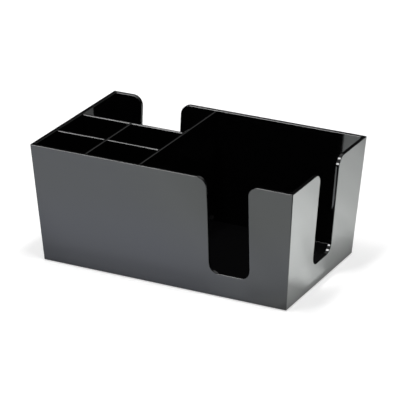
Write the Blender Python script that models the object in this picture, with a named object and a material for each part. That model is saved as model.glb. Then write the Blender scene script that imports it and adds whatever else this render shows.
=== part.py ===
"""Straw and napkin holder: a tapered moulded tray with four lift-out dividers and four feet.

Metres, +Z up. The origin is on the counter, under the middle of the tray. The front is -Y.
"""
import math

import bmesh
import bpy
from mathutils import Vector

# Tray, measured at its top
LENGTH = 0.240
DEPTH = 0.147
HEIGHT = 0.105
DRAFT = math.radians(4.0)
WALL = 0.0034
FLOOR = 0.0032
UNDER_RECESS = 0.0020
OUTER_CORNER_R = 0.0008
INNER_CORNER_R = 0.0013
RIM_OUTER_R = 0.0003
RIM_INNER_R = 0.0010
BASE_R = 0.0004
FLOOR_FILLET = 0.0010

# Finger cut-outs in the front, right and back walls: widths at the rim, from where they narrow downwards
CUT_WIDTH = 0.0375
BACK_CUT_WIDTH = 0.0384
CUT_DRAFT = math.radians(0.3)
CUT_SILL = 0.0205
CUT_SILL_R = 0.0085
CUT_MOUTH_R = 0.0090
FRONT_CUT_FROM_RIGHT = 0.0582
BACK_CUT_FROM_LEFT = 0.0478
RIGHT_CUT_FROM_FRONT = 0.0727

# Dividers: the clear bays are measured at the rim, from the left wall and from the front wall
PLATE = 0.0025
PLATE_BELOW_RIM = 0.0008
PLATE_EDGE_R = 0.0009
OUTER_STRAW_BAY = 0.0449
INNER_STRAW_BAY = 0.0480
FRONT_STRAW_BAY = 0.0370
MIDDLE_STRAW_BAY = 0.0411

# Joints between the dividers
GAP = 0.0003
TONGUE = 0.0012
GROOVE_DEPTH = 0.0011
SLOT_LEAD_IN = 0.0005

# Guide ribs that hold the dividers' ends against the walls; the napkin bay's are low stubs
RIB_WIDTH = 0.0014
RIB_REACH = 0.0026
RIB_BELOW_PLATE = 0.0180
STUB_HEIGHT = 0.0022

# Feet
FOOT_D = 0.0140
FOOT_SEAT = 0.0013
FOOT_STANDOFF = 0.0008
FOOT_FROM_EDGE = 0.0160
FOOT_EDGE_R = 0.0004

# Facets
ARC_STEPS = 8
CORNER_STEPS = 4
FOOT_STEPS = 40

# Places worked out from the sizes above
BASE_Z = FOOT_STANDOFF
RIM_Z = BASE_Z + HEIGHT
UNDER_Z = BASE_Z + UNDER_RECESS
FLOOR_Z = UNDER_Z + FLOOR
FOOT_THICKNESS = UNDER_Z + FOOT_SEAT - GAP
PLATE_BOTTOM_Z = FLOOR_Z + GAP
PLATE_TOP_Z = RIM_Z - PLATE_BELOW_RIM
PLATE_MIDDLE_Z = (PLATE_BOTTOM_Z + PLATE_TOP_Z) / 2
SLOPE = math.tan(DRAFT)
CUT_SLOPE = math.tan(CUT_DRAFT)
CROSS_PLATE_X = -LENGTH / 2 + WALL + OUTER_STRAW_BAY + PLATE / 2
NAPKIN_PLATE_X = CROSS_PLATE_X + PLATE + INNER_STRAW_BAY
FRONT_PLATE_Y = -DEPTH / 2 + WALL + FRONT_STRAW_BAY + PLATE / 2
REAR_PLATE_Y = FRONT_PLATE_Y + PLATE + MIDDLE_STRAW_BAY
FRONT_CUT_X = LENGTH / 2 - FRONT_CUT_FROM_RIGHT
BACK_CUT_X = -LENGTH / 2 + BACK_CUT_FROM_LEFT
RIGHT_CUT_Y = -DEPTH / 2 + RIGHT_CUT_FROM_FRONT
SILL_Z = BASE_Z + CUT_SILL
BIG_BEVEL = max(RIM_OUTER_R, RIM_INNER_R, BASE_R, FLOOR_FILLET)


def outer_half(top_half, z):
    """Half of the tray's outer length or depth at height z."""
    return top_half - SLOPE * (RIM_Z - z)


def inner_half(top_half, z):
    """Half of the tray's inner length or depth at height z."""
    return outer_half(top_half, z) - WALL


def arc(centre_u, centre_z, radius, start_deg, end_deg, steps=ARC_STEPS):
    """Points on an arc in a wall's own (u, z) plane, both ends included."""
    points = []
    for i in range(steps + 1):
        a = math.radians(start_deg + (end_deg - start_deg) * i / steps)
        points.append((centre_u + radius * math.cos(a), centre_z + radius * math.sin(a)))
    return points


def cut_half(width, z):
    """Half of a finger cut-out's width at height z, between its two straight sides."""
    return width / 2 - CUT_SLOPE * (RIM_Z - z)


def cut_outline(centre_u, width):
    """A finger cut-out's edge in (u, z), from its left mouth round the sill to its right mouth."""
    lean, lean_deg = math.cos(CUT_DRAFT), math.degrees(CUT_DRAFT)
    mouth_z, corner_z = RIM_Z - CUT_MOUTH_R, SILL_Z + CUT_SILL_R
    mouth_u = cut_half(width, mouth_z) + CUT_MOUTH_R / lean
    corner_u = cut_half(width, corner_z) - CUT_SILL_R / lean
    outline = arc(centre_u - mouth_u, mouth_z, CUT_MOUTH_R, 90, lean_deg)
    outline += arc(centre_u - corner_u, corner_z, CUT_SILL_R, 180 + lean_deg, 270)
    outline += arc(centre_u + corner_u, corner_z, CUT_SILL_R, 270, 360 - lean_deg)
    outline += arc(centre_u + mouth_u, mouth_z, CUT_MOUTH_R, 180 - lean_deg, 90)
    return outline


def wall_point(side, u, z, inside):
    """The world point of (u, z) on a wall's outer or inner face; u runs left to right from outside."""
    half = inner_half if inside else outer_half
    if side == "front":
        return Vector((u, -half(DEPTH / 2, z), z))
    if side == "right":
        return Vector((half(LENGTH / 2, z), u, z))
    if side == "back":
        return Vector((-u, half(DEPTH / 2, z), z))
    return Vector((-half(LENGTH / 2, z), -u, z))


def corner_point(index, step, z, inside):
    """A point on the rounded upright corner after wall number index, at height z."""
    half, radius = (inner_half, INNER_CORNER_R) if inside else (outer_half, OUTER_CORNER_R)
    sign_x, sign_y = ((1, -1), (1, 1), (-1, 1), (-1, -1))[index]
    centre_x = sign_x * (half(LENGTH / 2, z) - radius)
    centre_y = sign_y * (half(DEPTH / 2, z) - radius)
    a = math.radians(-90 + 90 * index + 90 * step / CORNER_STEPS)
    return Vector((centre_x + radius * math.cos(a), centre_y + radius * math.sin(a), z))


def make_object(name, mesh, material=None):
    """Links a new object to the scene."""
    obj = bpy.data.objects.new(name, mesh)
    bpy.context.scene.collection.objects.link(obj)
    if material:
        mesh.materials.append(material)
    return obj


def mesh_from(bm, name):
    """Turns a bmesh into a mesh with its faces pointing out."""
    bmesh.ops.recalc_face_normals(bm, faces=bm.faces)
    mesh = bpy.data.meshes.new(name)
    bm.to_mesh(mesh)
    bm.free()
    return mesh


def plastic(name, colour, roughness):
    """A plain non-metal material."""
    material = bpy.data.materials.new(name)
    material.use_nodes = True
    shader = material.node_tree.nodes["Principled BSDF"]
    shader.inputs["Base Color"].default_value = (*colour, 1.0)
    shader.inputs["Roughness"].default_value = roughness
    shader.inputs["Metallic"].default_value = 0.0
    return material


def add_bevel(obj, width, segments):
    """Rounds the edges that carry a bevel weight."""
    bevel = obj.modifiers.new("rounding", "BEVEL")
    bevel.width = width
    bevel.segments = segments
    bevel.limit_method = "WEIGHT"
    bevel.use_clamp_overlap = False
    return bevel


def add_boolean(obj, tool, operation):
    """Cuts a tool from the object, or joins it on, and keeps the tool out of the render."""
    tool.hide_render = True
    tool.display_type = "WIRE"
    boolean = obj.modifiers.new(tool.name, "BOOLEAN")
    boolean.operation = operation
    boolean.solver = "EXACT"
    boolean.object = tool


def box_into(bm, low, high):
    """Adds a closed box to a bmesh."""
    size = Vector(high) - Vector(low)
    middle = (Vector(high) + Vector(low)) / 2
    corners = bmesh.ops.create_cube(bm, size=1.0)["verts"]
    for vert in corners:
        vert.co = Vector(vert.co[i] * size[i] + middle[i] for i in range(3))


def prism_into(bm, outline, direction):
    """Adds a closed prism: the flat outline, extruded along the direction."""
    bottom = [bm.verts.new(point) for point in outline]
    top = [bm.verts.new(Vector(point) + direction) for point in outline]
    bm.faces.new(bottom)
    bm.faces.new(reversed(top))
    for i in range(len(outline)):
        j = (i + 1) % len(outline)
        bm.faces.new((bottom[i], top[i], top[j], bottom[j]))


def tray_skin(bm, inside):
    """One skin of the tray, open at the rim. Returns its rim loop and its foot loop."""
    rim, foot = [], []
    base_z = FLOOR_Z if inside else BASE_Z
    cuts = {
        "front": cut_outline(FRONT_CUT_X, CUT_WIDTH), "right": cut_outline(RIGHT_CUT_Y, CUT_WIDTH),
        "back": cut_outline(-BACK_CUT_X, BACK_CUT_WIDTH), "left": [],
    }
    walls = []
    for index, side in enumerate(cuts):
        top = [corner_point(index, step, RIM_Z, inside) for step in range(CORNER_STEPS + 1)]
        low = [corner_point(index, step, base_z, inside) for step in range(CORNER_STEPS + 1)]
        edge = [wall_point(side, u, z, inside) for u, z in cuts[side]]
        walls.append((
            [bm.verts.new(point) for point in edge],
            [bm.verts.new(point) for point in top],
            [bm.verts.new(point) for point in low],
        ))
    for index, (edge, top, low) in enumerate(walls):
        last_top, last_low = walls[index - 1][1][-1], walls[index - 1][2][-1]
        bm.faces.new([last_low, low[0], top[0], *reversed(edge), last_top])
        for step in range(CORNER_STEPS):
            bm.faces.new((low[step], low[step + 1], top[step + 1], top[step]))
        rim += edge + top
        foot += low
    bm.faces.new(foot)
    return rim, foot


def build_housing(material):
    """The moulded tray: two skins joined along the rim, with rounded edges, ribs and an underside."""
    bm = bmesh.new()
    weight = bm.edges.layers.float.new("bevel_weight_edge")
    outer_rim, outer_foot = tray_skin(bm, inside=False)
    inner_rim, inner_foot = tray_skin(bm, inside=True)
    for i in range(len(outer_rim)):
        j = (i + 1) % len(outer_rim)
        bm.faces.new((outer_rim[i], outer_rim[j], inner_rim[j], inner_rim[i]))
    rounds = (outer_rim, RIM_OUTER_R), (inner_rim, RIM_INNER_R), (outer_foot, BASE_R), (inner_foot, FLOOR_FILLET)
    for loop, radius in rounds:
        for i, vert in enumerate(loop):
            bm.edges.get((vert, loop[(i + 1) % len(loop)]))[weight] = radius / BIG_BEVEL
    housing = make_object("housing", mesh_from(bm, "housing"), material)
    add_bevel(housing, BIG_BEVEL, 2)
    add_boolean(housing, build_guide_ribs(), "UNION")
    add_boolean(housing, build_under_recess(), "DIFFERENCE")
    add_boolean(housing, build_foot_sockets(), "DIFFERENCE")


def rib_pair_into(bm, side, plate_u, stub_sign=0):
    """Two upright ribs on a wall's inner face, one on each side of a divider's end; one can be a stub."""
    low_z = FLOOR_Z - FLOOR / 2
    across = wall_point(side, 1, 0, True) - wall_point(side, 0, 0, True)
    inward = (wall_point(side, 0, 0, True) - wall_point(side, 0, 0, False)).normalized()
    for sign in (-1, 1):
        rib_top = FLOOR_Z + STUB_HEIGHT + RIB_REACH if sign == stub_sign else PLATE_TOP_Z - RIB_BELOW_PLATE
        start_u = plate_u + sign * (PLATE / 2 + GAP) - (RIB_WIDTH if sign < 0 else 0)
        root_low = wall_point(side, start_u, low_z, True) - inward * WALL / 2
        root_high = wall_point(side, start_u, rib_top, True) - inward * WALL / 2
        reach = inward * (WALL / 2 + RIB_REACH)
        outline = [root_low, root_low + reach, root_high + reach - Vector((0, 0, RIB_REACH)), root_high]
        outline.insert(3, root_high + inward * WALL / 2)
        prism_into(bm, outline, across * RIB_WIDTH)


def build_guide_ribs():
    """All the guide ribs, as one tool for the housing."""
    bm = bmesh.new()
    rib_pair_into(bm, "front", NAPKIN_PLATE_X, stub_sign=1)
    rib_pair_into(bm, "front", CROSS_PLATE_X)
    rib_pair_into(bm, "back", -NAPKIN_PLATE_X, stub_sign=-1)
    rib_pair_into(bm, "left", -FRONT_PLATE_Y)
    rib_pair_into(bm, "left", -REAR_PLATE_Y)
    return make_object("guide_ribs", mesh_from(bm, "guide_ribs"))


def foot_places():
    """Name and centre of each foot."""
    reach_x = outer_half(LENGTH / 2, BASE_Z) - FOOT_FROM_EDGE
    reach_y = outer_half(DEPTH / 2, BASE_Z) - FOOT_FROM_EDGE
    for row, y in (("front", -reach_y), ("rear", reach_y)):
        for column, x in (("left", -reach_x), ("right", reach_x)):
            yield f"foot_{row}_{column}", x, y


def disc_into(bm, x, y, low_z, high_z, diameter):
    """Adds a closed upright disc."""
    rounds = [2 * math.pi * i / FOOT_STEPS for i in range(FOOT_STEPS)]
    outline = [(x + diameter / 2 * math.cos(a), y + diameter / 2 * math.sin(a), low_z) for a in rounds]
    prism_into(bm, outline, Vector((0, 0, high_z - low_z)))


def build_under_recess():
    """The shallow recess under the floor, which leaves a skirt as thick as the wall."""
    bm = bmesh.new()
    outline = []
    for index in range(4):
        for step in range(CORNER_STEPS + 1):
            point = corner_point(index, step, BASE_Z, True)
            outline.append((point.x, point.y, BASE_Z - UNDER_RECESS))
    prism_into(bm, outline, Vector((0, 0, 2 * UNDER_RECESS)))
    return make_object("under_recess", mesh_from(bm, "under_recess"))


def build_foot_sockets():
    """The round sockets for the feet, as one tool for the housing."""
    bm = bmesh.new()
    for _, x, y in foot_places():
        disc_into(bm, x, y, BASE_Z, UNDER_Z + FOOT_SEAT, FOOT_D + 2 * GAP)
    return make_object("foot_sockets", mesh_from(bm, "foot_sockets"))


def build_feet(material):
    """Four rubber discs with a rounded lower edge."""
    for name, x, y in foot_places():
        bm = bmesh.new()
        disc_into(bm, 0, 0, 0, FOOT_THICKNESS, FOOT_D)
        weight = bm.edges.layers.float.new("bevel_weight_edge")
        for edge in bm.edges:
            if all(vert.co.z < FOOT_THICKNESS / 2 for vert in edge.verts):
                edge[weight] = 1.0
        foot = make_object(name, mesh_from(bm, name), material)
        foot.location = (x, y, 0)
        add_bevel(foot, FOOT_EDGE_R, 2)


def plate_end(top_half, z):
    """Where a divider ends at height z: one gap short of the wall's inner face."""
    return inner_half(top_half, z) - GAP


def plate_mesh(name, outline):
    """A divider standing in its own (u, z) plane, with rounded top edges and slot mouths as drawn."""
    bm = bmesh.new()
    weight = bm.edges.layers.float.new("bevel_weight_edge")
    front = [(u, -PLATE / 2, z) for u, z in outline]
    prism_into(bm, front, Vector((0, PLATE, 0)))
    for edge in bm.edges:
        low, high = sorted(vert.co.z for vert in edge.verts)
        along = abs(edge.verts[0].co.y - edge.verts[1].co.y) < GAP
        if along and abs(low - PLATE_TOP_Z) < 1e-7 and abs(high - PLATE_TOP_Z) < 1e-7:
            edge[weight] = 1.0
    return mesh_from(bm, name)


def slot(centre_u, mouth_z, root_z):
    """The outline of a halving slot, left to right as seen from the front for a slot open at the top."""
    half = PLATE / 2 + GAP
    lead = SLOT_LEAD_IN if mouth_z > root_z else -SLOT_LEAD_IN
    return [
        (centre_u - half - SLOT_LEAD_IN, mouth_z), (centre_u - half, mouth_z - lead),
        (centre_u - half, root_z), (centre_u + half, root_z),
        (centre_u + half, mouth_z - lead), (centre_u + half + SLOT_LEAD_IN, mouth_z),
    ]


def wall_end(top_half, sign):
    """A divider's end at a wall: it follows the draft and clears the floor's fillet. Low point first."""
    notch = FLOOR_FILLET + GAP
    low = plate_end(top_half, PLATE_BOTTOM_Z)
    clear_z = PLATE_BOTTOM_Z + notch
    return [
        (sign * (low - notch), PLATE_BOTTOM_Z),
        (sign * plate_end(top_half, clear_z), clear_z),
        (sign * plate_end(top_half, PLATE_TOP_Z), PLATE_TOP_Z),
    ]


def place_plate(obj, x, y, turned):
    """Stands a divider at (x, y); a turned one runs front to back."""
    obj.location = (x, y, 0)
    if turned:
        obj.rotation_euler = (0, 0, math.pi / 2)


def add_tongue(obj, end_u):
    """Thins the divider's end towards +u to a tongue, by cutting a rebate from each face."""
    bm = bmesh.new()
    for sign in (-1, 1):
        near, far = sorted((sign * TONGUE / 2, sign * PLATE))
        box_into(bm, (end_u - GROOVE_DEPTH, near, PLATE_BOTTOM_Z - PLATE), (end_u + PLATE, far, RIM_Z))
    tool = make_object(obj.name + "_rebates", mesh_from(bm, obj.name + "_rebates"))
    tool.location, tool.rotation_euler = obj.location, obj.rotation_euler
    add_boolean(obj, tool, "DIFFERENCE")


def add_groove(obj, x_low, x_high, y_low, y_high, label):
    """Cuts an upright groove through the divider's whole height."""
    bm = bmesh.new()
    box_into(bm, (x_low, y_low, PLATE_BOTTOM_Z - PLATE), (x_high, y_high, RIM_Z))
    add_boolean(obj, make_object(label, mesh_from(bm, label)), "DIFFERENCE")


def build_napkin_divider(material):
    """The long plate from the front wall to the back wall, with a groove for each lengthwise divider."""
    outline = wall_end(DEPTH / 2, 1) + wall_end(DEPTH / 2, -1)[::-1]
    plate = make_object("napkin_divider", plate_mesh("napkin_divider", outline), material)
    place_plate(plate, NAPKIN_PLATE_X, 0, turned=True)
    add_bevel(plate, PLATE_EDGE_R, 3)
    face = NAPKIN_PLATE_X - PLATE / 2
    half = TONGUE / 2 + GAP
    for label, y in (("front_groove", FRONT_PLATE_Y), ("rear_groove", REAR_PLATE_Y)):
        add_groove(plate, face - PLATE, face + GROOVE_DEPTH, y - half, y + half, label)


def build_lengthwise(name, y, slots, material):
    """A plate from the left wall to the napkin divider, with a tongue in that divider's groove."""
    end_x = NAPKIN_PLATE_X - PLATE / 2 - GAP + GROOVE_DEPTH
    right = [(end_x, PLATE_BOTTOM_Z), (end_x, PLATE_TOP_Z)]
    outline = right + slots[::-1] + wall_end(LENGTH / 2, -1)[::-1]
    plate = make_object(name, plate_mesh(name, outline), material)
    place_plate(plate, 0, y, turned=False)
    add_bevel(plate, PLATE_EDGE_R, 3)
    add_tongue(plate, end_x)
    return plate


def build_front_divider(material):
    """The plate between the two rows of straw bays, slotted from the top for the cross divider."""
    build_lengthwise("front_divider", FRONT_PLATE_Y, slot(CROSS_PLATE_X, PLATE_TOP_Z, PLATE_MIDDLE_Z), material)


def build_rear_divider(material):
    """The plate in front of the rear bay, grooved for the cross divider's tongue."""
    plate = build_lengthwise("rear_divider", REAR_PLATE_Y, [], material)
    face = REAR_PLATE_Y - PLATE / 2
    half = TONGUE / 2 + GAP
    add_groove(plate, CROSS_PLATE_X - half, CROSS_PLATE_X + half, face - PLATE, face + GROOVE_DEPTH, "cross_groove")


def build_cross_divider(material):
    """The plate through the straw bays, slotted from below to sit astride the front divider."""
    end_y = REAR_PLATE_Y - PLATE / 2 - GAP + GROOVE_DEPTH
    halving = slot(FRONT_PLATE_Y, PLATE_BOTTOM_Z, PLATE_MIDDLE_Z + GAP)
    outline = [(end_y, PLATE_BOTTOM_Z), (end_y, PLATE_TOP_Z)]
    outline += wall_end(DEPTH / 2, -1)[::-1] + halving
    plate = make_object("cross_divider", plate_mesh("cross_divider", outline), material)
    place_plate(plate, CROSS_PLATE_X, 0, turned=True)
    add_bevel(plate, PLATE_EDGE_R, 3)
    add_tongue(plate, end_y)


def main():
    for obj in list(bpy.data.objects):
        bpy.data.objects.remove(obj, do_unlink=True)
    black = plastic("black_gloss_plastic", (0.004, 0.004, 0.0043), 0.08)
    rubber = plastic("black_rubber", (0.03, 0.03, 0.03), 0.8)
    build_housing(black)
    build_napkin_divider(black)
    build_rear_divider(black)
    build_front_divider(black)
    build_cross_divider(black)
    build_feet(rubber)


main()
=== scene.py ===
"""Straw and napkin holder: the visual model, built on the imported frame.

Metres, +Z up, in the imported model's frame: the origin is on the counter, and the front is -Y.
"""
import math

import bmesh
import bpy
from mathutils import Matrix, Vector


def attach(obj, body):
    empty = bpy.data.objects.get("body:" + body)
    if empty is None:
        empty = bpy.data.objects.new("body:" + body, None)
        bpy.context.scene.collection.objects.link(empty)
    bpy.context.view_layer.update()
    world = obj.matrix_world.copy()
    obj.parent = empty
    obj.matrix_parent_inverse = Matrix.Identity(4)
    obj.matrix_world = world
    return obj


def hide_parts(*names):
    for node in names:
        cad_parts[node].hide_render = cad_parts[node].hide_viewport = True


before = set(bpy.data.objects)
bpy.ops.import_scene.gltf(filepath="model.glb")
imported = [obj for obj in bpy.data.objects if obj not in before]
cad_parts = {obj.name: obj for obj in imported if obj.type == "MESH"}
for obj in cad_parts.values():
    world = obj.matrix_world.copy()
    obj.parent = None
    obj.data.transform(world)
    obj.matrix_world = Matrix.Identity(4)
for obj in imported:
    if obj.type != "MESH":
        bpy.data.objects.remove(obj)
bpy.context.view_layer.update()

# Tray, measured at its top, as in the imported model
LENGTH = 0.240
DEPTH = 0.147
HEIGHT = 0.105
DRAFT = math.radians(4.0)
WALL = 0.0034
FLOOR = 0.0032
UNDER_RECESS = 0.0020
OUTER_CORNER_R = 0.0008
INNER_CORNER_R = 0.0013
RIM_OUTER_R = 0.0005
RIM_INNER_R = 0.0006
BASE_R = 0.0004
FLOOR_FILLET = 0.0001

# Finger cut-outs: widths at the rim, from where they narrow downwards
CUT_WIDTH = 0.0375
BACK_CUT_WIDTH = 0.0384
CUT_DRAFT = math.radians(0.3)
CUT_SILL = 0.0205
CUT_SILL_R = 0.0085
CUT_MOUTH_R = 0.0090
FRONT_CUT_FROM_RIGHT = 0.0582
BACK_CUT_FROM_LEFT = 0.0478
RIGHT_CUT_FROM_FRONT = 0.0727

# Dividers and their joints
PLATE = 0.0025
PLATE_BELOW_RIM = 0.0008
PLATE_EDGE_R = 0.0009
OUTER_STRAW_BAY = 0.0449
INNER_STRAW_BAY = 0.0480
FRONT_STRAW_BAY = 0.0370
MIDDLE_STRAW_BAY = 0.0411
GAP = 0.0003
TONGUE = 0.0012
GROOVE_DEPTH = 0.0011
SLOT_LEAD_IN = 0.0005

# Guide ribs; the napkin bay's are low stubs
RIB_WIDTH = 0.0014
RIB_REACH = 0.0026
RIB_BELOW_PLATE = 0.0180
STUB_HEIGHT = 0.0022

# Feet
FOOT_D = 0.0140
FOOT_SEAT = 0.0013
FOOT_STANDOFF = 0.0008
FOOT_FROM_EDGE = 0.0160
FOOT_EDGE_R = 0.0004

# A foot's underside outwards from its flat middle, as radius and height: a shallow hollow, then a ring
FOOT_UNDERSIDE = (
    (0.0022, 0.00015), (0.0024, 0.0), (0.0040, 0.0), (0.0042, 0.00025), (0.0050, 0.00025), (0.0052, 0.0),
)

# Facets and shading
ARC_STEPS = 24
CORNER_STEPS = 12
FOOT_STEPS = 72
FOOT_EDGE_STEPS = 6
RIM_SEGMENTS = 6
PLATE_SEGMENTS = 6
SHARP_ANGLE = math.radians(40)
FLAT_FACE_WEIGHT = 100

# How close two heights have to be to count as one
SAME_HEIGHT = 1e-7

# Places worked out from the sizes above
BASE_Z = FOOT_STANDOFF
RIM_Z = BASE_Z + HEIGHT
UNDER_Z = BASE_Z + UNDER_RECESS
FLOOR_Z = UNDER_Z + FLOOR
FOOT_THICKNESS = UNDER_Z + FOOT_SEAT - GAP
PLATE_BOTTOM_Z = FLOOR_Z + GAP
PLATE_TOP_Z = RIM_Z - PLATE_BELOW_RIM
PLATE_MIDDLE_Z = (PLATE_BOTTOM_Z + PLATE_TOP_Z) / 2
SLOPE = math.tan(DRAFT)
CUT_SLOPE = math.tan(CUT_DRAFT)
CROSS_PLATE_X = -LENGTH / 2 + WALL + OUTER_STRAW_BAY + PLATE / 2
NAPKIN_PLATE_X = CROSS_PLATE_X + PLATE + INNER_STRAW_BAY
FRONT_PLATE_Y = -DEPTH / 2 + WALL + FRONT_STRAW_BAY + PLATE / 2
REAR_PLATE_Y = FRONT_PLATE_Y + PLATE + MIDDLE_STRAW_BAY
FRONT_CUT_X = LENGTH / 2 - FRONT_CUT_FROM_RIGHT
BACK_CUT_X = -LENGTH / 2 + BACK_CUT_FROM_LEFT
RIGHT_CUT_Y = -DEPTH / 2 + RIGHT_CUT_FROM_FRONT
SILL_Z = BASE_Z + CUT_SILL
BIG_BEVEL = max(RIM_OUTER_R, RIM_INNER_R, BASE_R, FLOOR_FILLET)
FOOT_TURNS = [2 * math.pi * i / FOOT_STEPS for i in range(FOOT_STEPS)]

# The photograph's camera; its focal length was solved in pixels
CAMERA_AZIMUTH = math.radians(26.62)
CAMERA_ELEVATION = math.radians(22.40)
CAMERA_ROLL = math.radians(0.34)
CAMERA_DISTANCE = 2.2068
CAMERA_TARGET = Vector((0.001, 0.0, 0.0522))
CAMERA_SENSOR = 36.0
CAMERA_CLIP = 0.05, 100.0
FOCAL_PIXELS = 2629.0
PHOTO_PIXELS = 400


# Mesh helpers

def outer_half(top_half, z):
    """Half of the tray's outer length or depth at height z."""
    return top_half - SLOPE * (RIM_Z - z)


def inner_half(top_half, z):
    """Half of the tray's inner length or depth at height z."""
    return outer_half(top_half, z) - WALL


def arc(centre_u, centre_z, radius, start_deg, end_deg):
    """Points on an arc in a wall's own (u, z) plane, both ends included."""
    points = []
    for i in range(ARC_STEPS + 1):
        a = math.radians(start_deg + (end_deg - start_deg) * i / ARC_STEPS)
        points.append((centre_u + radius * math.cos(a), centre_z + radius * math.sin(a)))
    return points


def cut_half(width, z):
    """Half of a finger cut-out's width at height z, between its two straight sides."""
    return width / 2 - CUT_SLOPE * (RIM_Z - z)


def cut_outline(centre_u, width):
    """A finger cut-out's edge in (u, z), from its left mouth round the sill to its right mouth."""
    lean, lean_deg = math.cos(CUT_DRAFT), math.degrees(CUT_DRAFT)
    mouth_z, corner_z = RIM_Z - CUT_MOUTH_R, SILL_Z + CUT_SILL_R
    mouth_u = cut_half(width, mouth_z) + CUT_MOUTH_R / lean
    corner_u = cut_half(width, corner_z) - CUT_SILL_R / lean
    outline = arc(centre_u - mouth_u, mouth_z, CUT_MOUTH_R, 90, lean_deg)
    outline += arc(centre_u - corner_u, corner_z, CUT_SILL_R, 180 + lean_deg, 270)
    outline += arc(centre_u + corner_u, corner_z, CUT_SILL_R, 270, 360 - lean_deg)
    outline += arc(centre_u + mouth_u, mouth_z, CUT_MOUTH_R, 180 - lean_deg, 90)
    return outline


def wall_point(side, u, z, inside):
    """The point of (u, z) on a wall's outer or inner face; u runs left to right from outside."""
    half = inner_half if inside else outer_half
    if side == "front":
        return Vector((u, -half(DEPTH / 2, z), z))
    if side == "right":
        return Vector((half(LENGTH / 2, z), u, z))
    if side == "back":
        return Vector((-u, half(DEPTH / 2, z), z))
    return Vector((-half(LENGTH / 2, z), -u, z))


def corner_point(index, step, z, inside):
    """A point on the rounded upright corner after wall number index, at height z."""
    half, radius = (inner_half, INNER_CORNER_R) if inside else (outer_half, OUTER_CORNER_R)
    sign_x, sign_y = ((1, -1), (1, 1), (-1, 1), (-1, -1))[index]
    centre_x = sign_x * (half(LENGTH / 2, z) - radius)
    centre_y = sign_y * (half(DEPTH / 2, z) - radius)
    a = math.radians(-90 + 90 * index + 90 * step / CORNER_STEPS)
    return Vector((centre_x + radius * math.cos(a), centre_y + radius * math.sin(a), z))


def make_object(name, data, material=None):
    """Links a new object to the scene: a mesh, with or without a material, a lamp or a camera."""
    obj = bpy.data.objects.new(name, data)
    bpy.context.scene.collection.objects.link(obj)
    if material:
        data.materials.append(material)
    return obj


def mesh_from(bm, name):
    """Turns a bmesh into a mesh with its faces pointing out."""
    bmesh.ops.recalc_face_normals(bm, faces=bm.faces)
    mesh = bpy.data.meshes.new(name)
    bm.to_mesh(mesh)
    bm.free()
    return mesh


def add_bevel(obj, width, segments):
    """Rounds the edges that carry a bevel weight."""
    bevel = obj.modifiers.new("rounding", "BEVEL")
    bevel.width = width
    bevel.segments = segments
    bevel.limit_method = "WEIGHT"
    bevel.use_clamp_overlap = False


def add_boolean(obj, tool, operation):
    """Cuts a tool from the object, or joins it on."""
    boolean = obj.modifiers.new(tool.name, "BOOLEAN")
    boolean.operation = operation
    boolean.solver = "EXACT"
    boolean.object = tool


def settle(obj, tools=()):
    """Applies the modifiers, deletes the tools, and shades the mesh smooth with its flats kept flat."""
    bpy.context.view_layer.update()
    graph = bpy.context.evaluated_depsgraph_get()
    mesh = bpy.data.meshes.new_from_object(obj.evaluated_get(graph))
    obj.modifiers.clear()
    obj.data = mesh
    for tool in tools:
        bpy.data.objects.remove(tool, do_unlink=True)
    mesh.shade_smooth()
    mesh.set_sharp_from_angle(angle=SHARP_ANGLE)
    weighted = obj.modifiers.new("flat_faces", "WEIGHTED_NORMAL")
    weighted.keep_sharp = True
    weighted.weight = FLAT_FACE_WEIGHT


def box_into(bm, low, high):
    """Adds a closed box to a bmesh."""
    size = Vector(high) - Vector(low)
    middle = (Vector(high) + Vector(low)) / 2
    corners = bmesh.ops.create_cube(bm, size=1.0)["verts"]
    for vert in corners:
        vert.co = Vector(vert.co[i] * size[i] + middle[i] for i in range(3))


def prism_into(bm, outline, direction):
    """Adds a closed prism: the flat outline, extruded along the direction."""
    bottom = [bm.verts.new(point) for point in outline]
    top = [bm.verts.new(Vector(point) + direction) for point in outline]
    bm.faces.new(bottom)
    bm.faces.new(reversed(top))
    for i in range(len(outline)):
        j = (i + 1) % len(outline)
        bm.faces.new((bottom[i], top[i], top[j], bottom[j]))


# Materials

# Patterns: the noise's features per metre, detail and roughness, then the range of its values that counts
SMEARS = (26, 5, 0.62), (0.42, 0.78)
HAIRLINES = (70, 3, 0.6), (0.66, 0.74)
SPECKS = (2600, 1, 0.4), (0.80, 0.86)
RUBBER_TONE = (900, 4, 0.5), (0.35, 0.65)
RUBBER_MATT = (400, 3, 0.5), (0.3, 0.7)

# Reliefs: the noise in the same terms, then its height in metres
WAVES = (45, 1, 0.4), 0.000012
ORANGE_PEEL = (700, 2, 0.5), 0.0000004
RUBBER_GRAIN = (2500, 3, 0.5), 0.00004

# Black plastic; dust sets in as a face turns up, between two heights of its normal
PLASTIC_BLACK = 0.0022, 0.0022, 0.0024, 1.0
PLASTIC_ROUGHNESS = 0.045
SMEAR_ROUGHNESS = 0.05
HAIRLINE_ROUGHNESS = 0.10
HAIRLINE_TURN = 0.4, 0.9, 0.3
HAIRLINE_STRETCH = 1.0, 14.0, 14.0
DUST_GREY = 0.03, 0.03, 0.03, 1.0
DUSTY_NORMAL = 0.6, 0.95

# Black rubber
RUBBER_DARK = 0.022, 0.022, 0.022, 1.0
RUBBER_LIGHT = 0.038, 0.037, 0.036, 1.0
RUBBER_ROUGHNESS = 0.68, 0.86


def node(tree, kind, **inputs):
    """Adds a shader node and sets its inputs by name."""
    made = tree.nodes.new(kind)
    for name, value in inputs.items():
        made.inputs[name.replace("_", " ")].default_value = value
    return made


def noise(tree, coords, scale, detail, roughness):
    """A noise texture in object space; scale is in features per metre."""
    made = node(tree, "ShaderNodeTexNoise", Scale=scale, Detail=detail, Roughness=roughness)
    tree.links.new(coords, made.inputs["Vector"])
    return made.outputs["Fac"]


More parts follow.
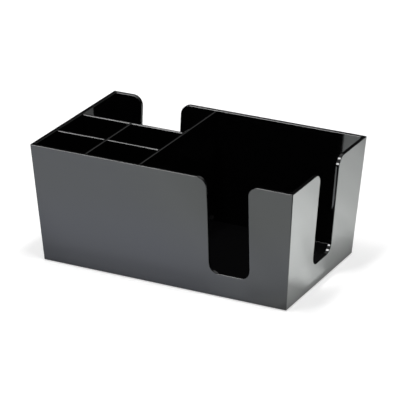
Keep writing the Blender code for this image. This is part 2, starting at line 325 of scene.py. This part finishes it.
def span(tree, value, from_low, from_high, to_low, to_high):
    """Maps a value from one range to another and clamps it."""
    made = node(tree, "ShaderNodeMapRange")
    made.clamp = True
    made.inputs["From Min"].default_value = from_low
    made.inputs["From Max"].default_value = from_high
    made.inputs["To Min"].default_value = to_low
    made.inputs["To Max"].default_value = to_high
    tree.links.new(value, made.inputs["Value"])
    return made.outputs["Result"]


def pattern(tree, coords, kind, to_low, to_high):
    """A pattern of noise, mapped to the range from to_low to to_high."""
    noise_kind, limits = kind
    return span(tree, noise(tree, coords, *noise_kind), *limits, to_low, to_high)


def feed(tree, value, socket):
    """Links another node's output to an input, or sets the input to a plain value."""
    if isinstance(value, bpy.types.NodeSocket):
        tree.links.new(value, socket)
    else:
        socket.default_value = value


def maths(tree, operation, first, second):
    """A maths node on two sockets or numbers."""
    made = tree.nodes.new("ShaderNodeMath")
    made.operation = operation
    feed(tree, first, made.inputs[0])
    feed(tree, second, made.inputs[1])
    return made.outputs[0]


def vector_maths(tree, operation, first, second):
    """A vector maths node on two sockets or vectors; for SCALE the second is a number."""
    made = tree.nodes.new("ShaderNodeVectorMath")
    made.operation = operation
    feed(tree, first, made.inputs[0])
    feed(tree, second, made.inputs["Scale" if operation == "SCALE" else 1])
    return made.outputs["Value" if operation == "DOT_PRODUCT" else "Vector"]


def mix_colours(tree, factor, first, second):
    """Turns from the first colour to the second as the factor goes from 0 to 1."""
    made = tree.nodes.new("ShaderNodeMix")
    made.data_type = "RGBA"
    feed(tree, factor, made.inputs["Factor"])
    feed(tree, first, made.inputs["A"])
    feed(tree, second, made.inputs["B"])
    return made.outputs["Result"]


def bump(tree, coords, relief, below=None):
    """A relief of noise as a normal, laid over another normal if there is one."""
    noise_kind, height = relief
    made = node(tree, "ShaderNodeBump", Strength=1.0, Distance=height)
    tree.links.new(noise(tree, coords, *noise_kind), made.inputs["Height"])
    if below:
        tree.links.new(below, made.inputs["Normal"])
    return made.outputs["Normal"]


def new_material(name):
    """A new material, its node tree, its shader and the object's own coordinates."""
    material = bpy.data.materials.new(name)
    material.use_nodes = True
    tree = material.node_tree
    coords = tree.nodes.new("ShaderNodeTexCoord").outputs["Object"]
    return material, tree, tree.nodes["Principled BSDF"], coords


def gloss_plastic():
    """Black moulded plastic: glossy, a little wavy, with faint smears, hairlines and sparse dust."""
    material, tree, shader, coords = new_material("black_gloss_plastic")

    smears = pattern(tree, coords, SMEARS, 0.0, SMEAR_ROUGHNESS)
    stretched = node(tree, "ShaderNodeMapping", Rotation=HAIRLINE_TURN, Scale=HAIRLINE_STRETCH)
    tree.links.new(coords, stretched.inputs["Vector"])
    hairlines = pattern(tree, stretched.outputs["Vector"], HAIRLINES, 0.0, HAIRLINE_ROUGHNESS)
    roughness = maths(tree, "ADD", maths(tree, "ADD", smears, hairlines), PLASTIC_ROUGHNESS)
    tree.links.new(roughness, shader.inputs["Roughness"])

    specks = pattern(tree, coords, SPECKS, 0.0, 1.0)
    facing = tree.nodes.new("ShaderNodeNewGeometry")
    split = tree.nodes.new("ShaderNodeSeparateXYZ")
    tree.links.new(facing.outputs["Normal"], split.inputs[0])
    dust = maths(tree, "MULTIPLY", specks, span(tree, split.outputs["Z"], *DUSTY_NORMAL, 0.0, 1.0))
    tree.links.new(mix_colours(tree, dust, PLASTIC_BLACK, DUST_GREY), shader.inputs["Base Color"])

    wavy = bump(tree, coords, WAVES)
    tree.links.new(bump(tree, coords, ORANGE_PEEL, wavy), shader.inputs["Normal"])
    return material


def rubber():
    """Matt black rubber with a fine grain."""
    material, tree, shader, coords = new_material("black_rubber")
    tone = mix_colours(tree, pattern(tree, coords, RUBBER_TONE, 0.0, 1.0), RUBBER_DARK, RUBBER_LIGHT)
    tree.links.new(tone, shader.inputs["Base Color"])
    tree.links.new(pattern(tree, coords, RUBBER_MATT, *RUBBER_ROUGHNESS), shader.inputs["Roughness"])
    tree.links.new(bump(tree, coords, RUBBER_GRAIN), shader.inputs["Normal"])
    return material


# The tray

def tray_skin(bm, inside):
    """One skin of the tray. Returns its rim loop and its foot loop."""
    rim, foot, walls = [], [], []
    base_z = FLOOR_Z if inside else BASE_Z
    cuts = {
        "front": cut_outline(FRONT_CUT_X, CUT_WIDTH), "right": cut_outline(RIGHT_CUT_Y, CUT_WIDTH),
        "back": cut_outline(-BACK_CUT_X, BACK_CUT_WIDTH), "left": [],
    }
    for index, side in enumerate(cuts):
        top = [corner_point(index, step, RIM_Z, inside) for step in range(CORNER_STEPS + 1)]
        low = [corner_point(index, step, base_z, inside) for step in range(CORNER_STEPS + 1)]
        edge = [wall_point(side, u, z, inside) for u, z in cuts[side]]
        walls.append([[bm.verts.new(point) for point in points] for points in (edge, top, low)])
    for index, (edge, top, low) in enumerate(walls):
        last_top, last_low = walls[index - 1][1][-1], walls[index - 1][2][-1]
        bm.faces.new([last_low, low[0], top[0], *reversed(edge), last_top])
        for step in range(CORNER_STEPS):
            bm.faces.new((low[step], low[step + 1], top[step + 1], top[step]))
        rim += edge + top
        foot += low
    bm.faces.new(foot)
    return rim, foot


def rib_pair_into(bm, side, plate_u, stub_sign=0):
    """Two upright ribs on a wall's inner face, one on each side of a divider's end; one can be a stub."""
    low_z = FLOOR_Z - FLOOR / 2
    across = wall_point(side, 1, 0, True) - wall_point(side, 0, 0, True)
    inward = (wall_point(side, 0, 0, True) - wall_point(side, 0, 0, False)).normalized()
    for sign in (-1, 1):
        rib_top = FLOOR_Z + STUB_HEIGHT + RIB_REACH if sign == stub_sign else PLATE_TOP_Z - RIB_BELOW_PLATE
        start_u = plate_u + sign * (PLATE / 2 + GAP) - (RIB_WIDTH if sign < 0 else 0)
        root_low = wall_point(side, start_u, low_z, True) - inward * WALL / 2
        root_high = wall_point(side, start_u, rib_top, True) - inward * WALL / 2
        reach = inward * (WALL / 2 + RIB_REACH)
        outline = [root_low, root_low + reach, root_high + reach - Vector((0, 0, RIB_REACH)), root_high]
        outline.insert(3, root_high + inward * WALL / 2)
        prism_into(bm, outline, across * RIB_WIDTH)


def guide_ribs():
    """All the guide ribs, as one tool for the tray."""
    bm = bmesh.new()
    rib_pair_into(bm, "front", NAPKIN_PLATE_X, stub_sign=1)
    rib_pair_into(bm, "front", CROSS_PLATE_X)
    rib_pair_into(bm, "back", -NAPKIN_PLATE_X, stub_sign=-1)
    rib_pair_into(bm, "left", -FRONT_PLATE_Y)
    rib_pair_into(bm, "left", -REAR_PLATE_Y)
    return make_object("guide_rib_tool", mesh_from(bm, "guide_rib_tool"))


def foot_places():
    """Name and centre of each foot."""
    reach_x = outer_half(LENGTH / 2, BASE_Z) - FOOT_FROM_EDGE
    reach_y = outer_half(DEPTH / 2, BASE_Z) - FOOT_FROM_EDGE
    for row, y in (("front", -reach_y), ("rear", reach_y)):
        for column, x in (("left", -reach_x), ("right", reach_x)):
            yield f"foot_{row}_{column}", x, y


def disc_into(bm, x, y, low_z, high_z, diameter):
    """Adds a closed upright disc."""
    outline = [(x + diameter / 2 * math.cos(a), y + diameter / 2 * math.sin(a), low_z) for a in FOOT_TURNS]
    prism_into(bm, outline, Vector((0, 0, high_z - low_z)))


def under_recess():
    """The shallow recess under the floor, which leaves a skirt as thick as the wall."""
    bm = bmesh.new()
    outline = []
    for index in range(4):
        for step in range(CORNER_STEPS + 1):
            point = corner_point(index, step, BASE_Z, True)
            outline.append((point.x, point.y, BASE_Z - UNDER_RECESS))
    prism_into(bm, outline, Vector((0, 0, 2 * UNDER_RECESS)))
    return make_object("under_recess_tool", mesh_from(bm, "under_recess_tool"))


def foot_sockets():
    """The round sockets for the feet, as one tool for the tray."""
    bm = bmesh.new()
    for _, x, y in foot_places():
        disc_into(bm, x, y, BASE_Z, UNDER_Z + FOOT_SEAT, FOOT_D + 2 * GAP)
    return make_object("foot_socket_tool", mesh_from(bm, "foot_socket_tool"))


def build_tray(material):
    """The moulded tray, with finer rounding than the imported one."""
    bm = bmesh.new()
    weight = bm.edges.layers.float.new("bevel_weight_edge")
    outer_rim, outer_foot = tray_skin(bm, inside=False)
    inner_rim, inner_foot = tray_skin(bm, inside=True)
    for i in range(len(outer_rim)):
        j = (i + 1) % len(outer_rim)
        bm.faces.new((outer_rim[i], outer_rim[j], inner_rim[j], inner_rim[i]))
    rounds = (
        (outer_rim, RIM_OUTER_R), (inner_rim, RIM_INNER_R), (outer_foot, BASE_R), (inner_foot, FLOOR_FILLET),
    )
    for loop, radius in rounds:
        for i, vert in enumerate(loop):
            bm.edges.get((vert, loop[(i + 1) % len(loop)]))[weight] = radius / BIG_BEVEL
    tray = make_object("moulded_tray", mesh_from(bm, "moulded_tray"), material)
    ribs, recess, sockets = guide_ribs(), under_recess(), foot_sockets()
    add_bevel(tray, BIG_BEVEL, RIM_SEGMENTS)
    add_boolean(tray, ribs, "UNION")
    add_boolean(tray, recess, "DIFFERENCE")
    add_boolean(tray, sockets, "DIFFERENCE")
    settle(tray, (ribs, recess, sockets))
    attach(tray, "tray")
    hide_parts("housing")


# The dividers

def plate_end(top_half, z):
    """Where a divider ends at height z: one gap short of the wall's inner face."""
    return inner_half(top_half, z) - GAP


def wall_end(top_half, sign):
    """A divider's end at a wall: it follows the draft and clears the floor's fillet. Low point first."""
    notch = FLOOR_FILLET + GAP
    low = plate_end(top_half, PLATE_BOTTOM_Z)
    clear_z = PLATE_BOTTOM_Z + notch
    return [
        (sign * (low - notch), PLATE_BOTTOM_Z),
        (sign * plate_end(top_half, clear_z), clear_z),
        (sign * plate_end(top_half, PLATE_TOP_Z), PLATE_TOP_Z),
    ]


def slot_outline(centre_u, mouth_z, root_z):
    """The outline of a halving slot, left to right as seen from the front for a slot open at the top."""
    half = PLATE / 2 + GAP
    lead = SLOT_LEAD_IN if mouth_z > root_z else -SLOT_LEAD_IN
    return [
        (centre_u - half - SLOT_LEAD_IN, mouth_z), (centre_u - half, mouth_z - lead),
        (centre_u - half, root_z), (centre_u + half, root_z),
        (centre_u + half, mouth_z - lead), (centre_u + half + SLOT_LEAD_IN, mouth_z),
    ]


def tongue_tool(end_u):
    """Two boxes that thin the divider's end towards +u to a tongue."""
    bm = bmesh.new()
    for sign in (-1, 1):
        near, far = sorted((sign * TONGUE / 2, sign * PLATE))
        box_into(bm, (end_u - GROOVE_DEPTH, near, PLATE_BOTTOM_Z - PLATE), (end_u + PLATE, far, RIM_Z))
    return bm


def groove_tool(face_v, inward, centre_u):
    """A box that cuts an upright groove in a divider's face, in the divider's own (u, v) plane."""
    bm = bmesh.new()
    half = TONGUE / 2 + GAP
    near, far = sorted((face_v + inward * GROOVE_DEPTH, face_v - inward * PLATE))
    box_into(bm, (centre_u - half, near, PLATE_BOTTOM_Z - PLATE), (centre_u + half, far, RIM_Z))
    return bm


def build_plate(name, outline, place, turned, cutters, material):
    """A divider: its outline stands in its own (u, z) plane, then the cutters shape it."""
    bm = bmesh.new()
    weight = bm.edges.layers.float.new("bevel_weight_edge")
    prism_into(bm, [(u, -PLATE / 2, z) for u, z in outline], Vector((0, PLATE, 0)))
    for edge in bm.edges:
        lengthwise = abs(edge.verts[0].co.y - edge.verts[1].co.y) < GAP
        if lengthwise and all(abs(vert.co.z - PLATE_TOP_Z) < SAME_HEIGHT for vert in edge.verts):
            edge[weight] = 1.0
    plate = make_object(name + "_plate", mesh_from(bm, name + "_plate"), material)
    add_bevel(plate, PLATE_EDGE_R, PLATE_SEGMENTS)
    tools = []
    for i, cutter in enumerate(cutters):
        tools.append(make_object(f"{name}_tool_{i}", mesh_from(cutter, f"{name}_tool_{i}")))
        add_boolean(plate, tools[-1], "DIFFERENCE")
    settle(plate, tools)
    turn = Matrix.Rotation(math.pi / 2, 4, "Z") if turned else Matrix.Identity(4)
    plate.data.transform(Matrix.Translation(place) @ turn)
    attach(plate, name)
    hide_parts(name)


def build_dividers(material):
    """The four dividers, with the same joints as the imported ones."""
    half = PLATE / 2
    tongue_x = NAPKIN_PLATE_X - half - GAP + GROOVE_DEPTH
    tongue_y = REAR_PLATE_Y - half - GAP + GROOVE_DEPTH
    lengthwise_right = [(tongue_x, PLATE_BOTTOM_Z), (tongue_x, PLATE_TOP_Z)]
    left_end = wall_end(LENGTH / 2, -1)[::-1]

    full = wall_end(DEPTH / 2, 1) + wall_end(DEPTH / 2, -1)[::-1]
    grooves = [groove_tool(half, -1, FRONT_PLATE_Y), groove_tool(half, -1, REAR_PLATE_Y)]
    build_plate("napkin_divider", full, (NAPKIN_PLATE_X, 0, 0), True, grooves, material)

    rear = lengthwise_right + left_end
    cutters = [tongue_tool(tongue_x), groove_tool(-half, 1, CROSS_PLATE_X)]
    build_plate("rear_divider", rear, (0, REAR_PLATE_Y, 0), False, cutters, material)

    halving = slot_outline(CROSS_PLATE_X, PLATE_TOP_Z, PLATE_MIDDLE_Z)
    front = lengthwise_right + halving[::-1] + left_end
    build_plate("front_divider", front, (0, FRONT_PLATE_Y, 0), False, [tongue_tool(tongue_x)], material)

    halving = slot_outline(FRONT_PLATE_Y, PLATE_BOTTOM_Z, PLATE_MIDDLE_Z + GAP)
    cross = [(tongue_y, PLATE_BOTTOM_Z), (tongue_y, PLATE_TOP_Z)] + wall_end(DEPTH / 2, -1)[::-1] + halving
    build_plate("cross_divider", cross, (CROSS_PLATE_X, 0, 0), True, [tongue_tool(tongue_y)], material)


# The feet

def build_feet(material):
    """Four rubber discs with a rounded lower edge, and a hollow and a ring moulded underneath."""
    flat_r = FOOT_D / 2 - FOOT_EDGE_R
    profile = [*FOOT_UNDERSIDE, (flat_r, 0.0)]
    for i in range(1, FOOT_EDGE_STEPS + 1):
        a = math.radians(-90 + 90 * i / FOOT_EDGE_STEPS)
        profile.append((flat_r + FOOT_EDGE_R * math.cos(a), FOOT_EDGE_R + FOOT_EDGE_R * math.sin(a)))
    profile.append((FOOT_D / 2, FOOT_THICKNESS))
    for name, x, y in foot_places():
        bm = bmesh.new()
        rings = [
            [bm.verts.new((r * math.cos(a), r * math.sin(a), z)) for a in FOOT_TURNS] for r, z in profile
        ]
        under, over = bm.verts.new((0, 0, profile[0][1])), bm.verts.new((0, 0, FOOT_THICKNESS))
        for i in range(FOOT_STEPS):
            j = (i + 1) % FOOT_STEPS
            bm.faces.new((under, rings[0][j], rings[0][i]))
            bm.faces.new((over, rings[-1][i], rings[-1][j]))
            for inner, outer in zip(rings, rings[1:]):
                bm.faces.new((inner[i], inner[j], outer[j], outer[i]))
        foot = make_object(name + "_disc", mesh_from(bm, name + "_disc"), material)
        foot.data.transform(Matrix.Translation((x, y, 0)))
        settle(foot)
        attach(foot, "tray")
        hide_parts(name)


# The studio

FLOOR_HALF = 12.0

# The floor as the camera sees it: its own glow, and its colour under the lamps. Then its plain colour
SEEN_WHITE = 0.57
SEEN_LIT = 0.57
PAPER_WHITE = 0.85

# Two overhead banks of lamps: the tilt from overhead towards +X and +Y in degrees, and the strength
SUNS = (
    (-9.0, -18.0, 0.50), (-9.0, -9.0, 0.56), (-9.0, -1.0, 0.22), (-9.0, 10.0, 0.10),
    (12.0, -10.0, 0.62), (12.0, -3.0, 0.54), (9.0, 10.0, 0.22),
)
SUN_ANGLE = math.radians(7.5)
SUN_DISTANCE = 2.0

# Two softboxes that only gloss shows: the name, the direction from the tray, and the side in metres
SOFTBOXES = (
    ("softbox_high", (-0.414, -0.232, 0.880), 0.60),
    ("softbox_low", (-0.414, -0.877, 0.239), 0.50),
)
SOFTBOX_DISTANCE = 1.6
SOFTBOX_RADIANCE = 16.0

# The painted light on the paper: how bright reflections see it, by the distance in metres along the diagonal
# from +Y-X to -Y+X
FRONT_BAND = (
    (-0.18, 0.40), (-0.13, 0.30), (-0.09, 0.80), (-0.04, 2.08), (0.0, 2.53), (0.06, 2.58), (0.08, 2.62),
    (0.10, 2.70), (0.12, 2.58), (0.14, 2.40), (0.165, 2.52), (0.20, 2.52), (0.272, 0.45), (0.36, 0.40),
)
RIGHT_BAND = (
    (-0.18, 0.55), (-0.13, 0.33), (-0.09, 1.00), (-0.037, 2.05), (-0.011, 2.30), (0.018, 2.72),
    (0.045, 3.28), (0.065, 3.58), (0.082, 3.60), (0.10, 3.75), (0.132, 3.00), (0.20, 2.50), (0.272, 0.45),
    (0.36, 0.40),
)
# Tints of the painted light and shade, up to the first and from the second distance of TINT_TURN: along the
# diagonal, and from the base
FRONT_TINTS = (0.957, 1.0, 1.06), (0.957, 1.0, 1.0)
RIGHT_TINTS = (0.97, 1.0, 0.985), (0.97, 1.0, 0.985)
FRONT_SHADE_TINTS = (1.0, 1.0, 1.055), (1.0, 1.0, 1.0)
PLAIN_TINTS = (1.0, 1.0, 1.0), (1.0, 1.0, 1.0)
TINT_TURN = 0.06, 0.12
BAND_TOP = 4.0

# Where the front band gives way to the right one, by the distance along the diagonal to +X+Y
BANDS_MEET = 0.0, 0.045

# The share of that light that is left from the second bounce on, and the ray depths between which it drops
SECOND_BOUNCE = 0.02
SECOND_DEPTH = 1.2, 1.8

# Painted shade on the paper: how it darkens towards the tray's base, by the distance from it
FRONT_SHADE = (
    (0.0, 0.58), (0.006, 0.68), (0.015, 0.74), (0.025, 0.81), (0.040, 0.905), (0.055, 0.965), (0.080, 1.0),
    (0.120, 1.0),
)
RIGHT_SHADE = (
    (0.0, 0.44), (0.006, 0.67), (0.012, 0.80), (0.016, 0.875), (0.020, 0.905), (0.026, 0.91), (0.032, 0.92),
    (0.037, 0.95), (0.047, 1.0),
)
# Beside the tray the distance along Y counts this much less, so the painted shade stays dark past the corners
PAST_SIDE = 0.020
SIDE_BLEND = 0.010

# The painted pool of light where light comes through the right cut-out: by the place along Y, and how far
# from the base it fades out
PATCH_LIGHT = (
    (-0.060, 1.0), (-0.038, 0.97), (-0.030, 0.93), (-0.023, 0.88), (-0.018, 0.98), (-0.013, 1.08),
    (-0.009, 1.14), (-0.004, 1.16), (0.002, 1.18), (0.008, 1.14), (0.014, 1.10), (0.020, 1.06), (0.028, 1.0),
)
PATCH_TOP = 1.2
PATCH_FADE = 0.018, 0.026

# The painted shadow at the patch's rear edge, which slants: by Y less the slant times the distance from the
# base
EDGE_SHADE = (
    (-0.024, 1.0), (-0.017, 0.96), (-0.013, 0.91), (-0.009, 0.855), (-0.003, 0.845), (0.005, 0.885),
    (0.012, 0.92), (0.030, 0.98), (0.040, 1.0),
)
EDGE_SLANT = 1.6
EDGE_FADE = 0.040, 0.060

# The room's light, and how bright reflections see it below and above two heights of the way they look
AMBIENT = 0.05
ROOM_LOW = 0.015
ROOM_HIGH = 0.60
ROOM_HEIGHTS = 0.42, 0.56


def along(tree, coords, direction):
    """How far a point lies along a direction."""
    return vector_maths(tree, "DOT_PRODUCT", coords, Vector(direction).normalized())


def ramp(tree, distance, places, interpolation, top, tints):
    """A ramp of brightness over a top value, set at some distances, that turns from one tint to another."""
    low, high = places[0][0], places[-1][0]
    made = tree.nodes.new("ShaderNodeValToRGB")
    made.color_ramp.interpolation = interpolation
    stops = made.color_ramp.elements
    while len(stops) < len(places):
        stops.new(0.5)
    for stop, (place, gain) in zip(stops, places):
        turned = min(max((place - TINT_TURN[0]) / (TINT_TURN[1] - TINT_TURN[0]), 0.0), 1.0)
        stop.position = (place - low) / (high - low)
        stop.color = (*(Vector(tints[0]).lerp(Vector(tints[1]), turned) * gain / top), 1)
    tree.links.new(span(tree, distance, low, high, 0.0, 1.0), made.inputs["Fac"])
    return made.outputs["Color"]


def base_distance(tree, coords, past_side):
    """How far a point on the floor lies outside the tray's base; beside it, Y counts less by past_side."""
    split = tree.nodes.new("ShaderNodeSeparateXYZ")
    tree.links.new(coords, split.inputs[0])
    beyond = []
    for axis, top_half in (("X", LENGTH / 2), ("Y", DEPTH / 2)):
        reach = maths(tree, "ABSOLUTE", split.outputs[axis], 0.0)
        beyond.append(maths(tree, "SUBTRACT", reach, outer_half(top_half, BASE_Z)))
    less = span(tree, beyond[0], -SIDE_BLEND, 0.0, 0.0, past_side)
    return maths(tree, "MAXIMUM", beyond[0], maths(tree, "SUBTRACT", beyond[1], less))


def paper_side(tree, coords, band, tints, distance, shade, shade_tints):
    """The painted light on the paper on one side of the tray: a band across it, with painted shade towards
    the base.
    """
    band_light = ramp(tree, along(tree, coords, (1, -1, 0)), band, "EASE", BAND_TOP, tints)
    base_shade = ramp(tree, distance, shade, "LINEAR", 1.0, shade_tints)
    return vector_maths(tree, "MULTIPLY", band_light, base_shade)


def faded(tree, gain, distance, reach):
    """A gain that turns to 1 between the two distances of the reach."""
    kept = span(tree, distance, *reach, 1.0, 0.0)
    return maths(tree, "ADD", maths(tree, "MULTIPLY", maths(tree, "SUBTRACT", gain, 1.0), kept), 1.0)


def painted_cut_out_light(tree, coords, distance):
    """How the painted light by the right cut-out changes the paper: a painted bright patch with a painted
    shadow behind it.
    """
    place = along(tree, coords, (0, 1, 0))
    patch = ramp(tree, place, PATCH_LIGHT, "LINEAR", PATCH_TOP, PLAIN_TINTS)
    patch = faded(tree, maths(tree, "MULTIPLY", patch, PATCH_TOP), distance, PATCH_FADE)
    slanted = maths(tree, "SUBTRACT", place, maths(tree, "MULTIPLY", distance, EDGE_SLANT))
    edge = ramp(tree, slanted, EDGE_SHADE, "LINEAR", 1.0, PLAIN_TINTS)
    return maths(tree, "MULTIPLY", patch, faded(tree, edge, distance, EDGE_FADE))


def painted_paper_light(tree, path):
    """The paper's painted brightness in reflections: a band of painted light on each side, with painted shade
    towards the base, dimmer seen at second hand.
    """
    coords = tree.nodes.new("ShaderNodeTexCoord").outputs["Object"]
    distance = base_distance(tree, coords, 0.0)
    front = paper_side(tree, coords, FRONT_BAND, FRONT_TINTS, distance, FRONT_SHADE, FRONT_SHADE_TINTS)
    distance = base_distance(tree, coords, PAST_SIDE)
    right = paper_side(tree, coords, RIGHT_BAND, RIGHT_TINTS, distance, RIGHT_SHADE, PLAIN_TINTS)
    right = vector_maths(tree, "SCALE", right, painted_cut_out_light(tree, coords, distance))
    turn = span(tree, along(tree, coords, (1, 1, 0)), *BANDS_MEET, 0.0, 1.0)
    light = mix_colours(tree, turn, front, right)
    bounce = span(tree, path.outputs["Ray Depth"], *SECOND_DEPTH, BAND_TOP, BAND_TOP * SECOND_BOUNCE)
    return vector_maths(tree, "SCALE", light, bounce)


def mix_shaders(tree, factor, first, second):
    """Turns from the first shader to the second as the factor goes from 0 to 1."""
    made = tree.nodes.new("ShaderNodeMixShader")
    tree.links.new(factor, made.inputs["Fac"])
    tree.links.new(first.outputs[0], made.inputs[1])
    tree.links.new(second.outputs[0], made.inputs[2])
    return made


def output_by_ray(tree, path, kind, plain, mirrored, seen):
    """The output node: the camera sees one shader, reflections another, and other light the plain one."""
    others = mix_shaders(tree, path.outputs["Is Glossy Ray"], plain, mirrored)
    whole = mix_shaders(tree, path.outputs["Is Camera Ray"], others, seen)
    output = tree.nodes.new(kind)
    tree.links.new(whole.outputs[0], output.inputs["Surface"])


def floor_material():
    """White paper. Reflections see it as bright as the over-exposed paper in the photograph."""
    material = bpy.data.materials.new("white_paper")
    material.use_nodes = True
    tree = material.node_tree
    tree.nodes.clear()
    path = tree.nodes.new("ShaderNodeLightPath")
    seen_lit = node(tree, "ShaderNodeBsdfDiffuse", Color=(SEEN_LIT, SEEN_LIT, SEEN_LIT, 1))
    seen_white = node(tree, "ShaderNodeEmission", Color=(1, 1, 1, 1), Strength=SEEN_WHITE)
    seen = tree.nodes.new("ShaderNodeAddShader")
    tree.links.new(seen_white.outputs[0], seen.inputs[0])
    tree.links.new(seen_lit.outputs[0], seen.inputs[1])
    plain = node(tree, "ShaderNodeBsdfDiffuse", Color=(PAPER_WHITE, PAPER_WHITE, PAPER_WHITE, 1))
    # For reflections the paper's colour carries painted light and shade, set by place on the floor
    mirrored = tree.nodes.new("ShaderNodeBsdfDiffuse")
    tree.links.new(painted_paper_light(tree, path), mirrored.inputs["Color"])
    output_by_ray(tree, path, "ShaderNodeOutputMaterial", plain, mirrored, seen)
    return material


def build_floor():
    """A wide white floor."""
    bm = bmesh.new()
    corners = (-1, -1), (1, -1), (1, 1), (-1, 1)
    bm.faces.new([bm.verts.new((x * FLOOR_HALF, y * FLOOR_HALF, 0)) for x, y in corners])
    floor = make_object("studio_floor", mesh_from(bm, "studio_floor"), floor_material())


def build_world():
    """A dim room that the camera sees as white."""
    world = bpy.data.worlds.new("studio")
    bpy.context.scene.world = world
    world.use_nodes = True
    tree = world.node_tree
    tree.nodes.clear()
    path = tree.nodes.new("ShaderNodeLightPath")
    plain = node(tree, "ShaderNodeBackground", Color=(1, 1, 1, 1), Strength=AMBIENT)
    mirrored = node(tree, "ShaderNodeBackground", Color=(1, 1, 1, 1))
    split = tree.nodes.new("ShaderNodeSeparateXYZ")
    tree.links.new(tree.nodes.new("ShaderNodeTexCoord").outputs["Generated"], split.inputs[0])
    brightness = span(tree, split.outputs["Z"], *ROOM_HEIGHTS, ROOM_LOW, ROOM_HIGH)
    tree.links.new(brightness, mirrored.inputs["Strength"])
    white = node(tree, "ShaderNodeBackground", Color=(1, 1, 1, 1), Strength=1.0)
    output_by_ray(tree, path, "ShaderNodeOutputWorld", plain, mirrored, white)


def aim(obj, location, target):
    """Places a lamp and points it at the target."""
    obj.location = location
    obj.rotation_mode = "QUATERNION"
    obj.rotation_quaternion = (Vector(target) - Vector(location)).to_track_quat("-Z", "Y")


def build_sun(tilt_x, tilt_y, strength):
    """A far lamp that gloss doesn't show, tilted from overhead towards +X and +Y by two angles in degrees."""
    name = f"lamp_{tilt_x:+.0f}_{tilt_y:+.0f}"
    data = bpy.data.lights.new(name, "SUN")
    data.energy = strength
    data.angle = SUN_ANGLE
    lamp = make_object(name, data)
    lamp.visible_glossy = False
    where = Vector((math.tan(math.radians(tilt_x)), math.tan(math.radians(tilt_y)), 1.0)) * SUN_DISTANCE
    aim(lamp, where, (0, 0, 0))


def build_softbox(name, direction, side):
    """A square softbox, seen along the direction from the middle of the tray's mouth; only gloss shows it."""
    data = bpy.data.lights.new(name, "AREA")
    data.shape = "RECTANGLE"
    data.size, data.size_y = side, side
    data.energy = SOFTBOX_RADIANCE * math.pi * side * side
    lamp = make_object(name, data)
    lamp.visible_diffuse = False
    target = Vector((0, 0, RIM_Z))
    aim(lamp, target + Vector(direction).normalized() * SOFTBOX_DISTANCE, target)


def build_studio():
    """The floor, the room and the lamps."""
    build_floor()
    build_world()
    for sun in SUNS:
        build_sun(*sun)
    for softbox in SOFTBOXES:
        build_softbox(*softbox)


def build_camera():
    """The photograph's camera, solved from the tray's corners."""
    ca, sa = math.cos(CAMERA_AZIMUTH), math.sin(CAMERA_AZIMUTH)
    ce, se = math.cos(CAMERA_ELEVATION), math.sin(CAMERA_ELEVATION)
    back = Vector((sa * ce, -ca * ce, se))
    level = Vector((ca, sa, 0))
    upright = back.cross(level)
    cr, sr = math.cos(CAMERA_ROLL), math.sin(CAMERA_ROLL)
    right = level * cr + upright * sr
    up = upright * cr - level * sr
    data = bpy.data.cameras.new("camera")
    data.lens = CAMERA_SENSOR * FOCAL_PIXELS / PHOTO_PIXELS
    data.sensor_width = CAMERA_SENSOR
    data.clip_start, data.clip_end = CAMERA_CLIP
    camera = make_object("camera", data)
    turn = Matrix((right, up, back)).transposed().to_4x4()
    camera.matrix_world = Matrix.Translation(CAMERA_TARGET + back * CAMERA_DISTANCE) @ turn
    bpy.context.scene.camera = camera


def main():
    """Builds the scene."""
    build_camera()
    plastic = gloss_plastic()
    build_tray(plastic)
    build_dividers(plastic)
    build_feet(rubber())
    build_studio()
    bpy.context.scene.view_settings.view_transform = "Standard"


main()
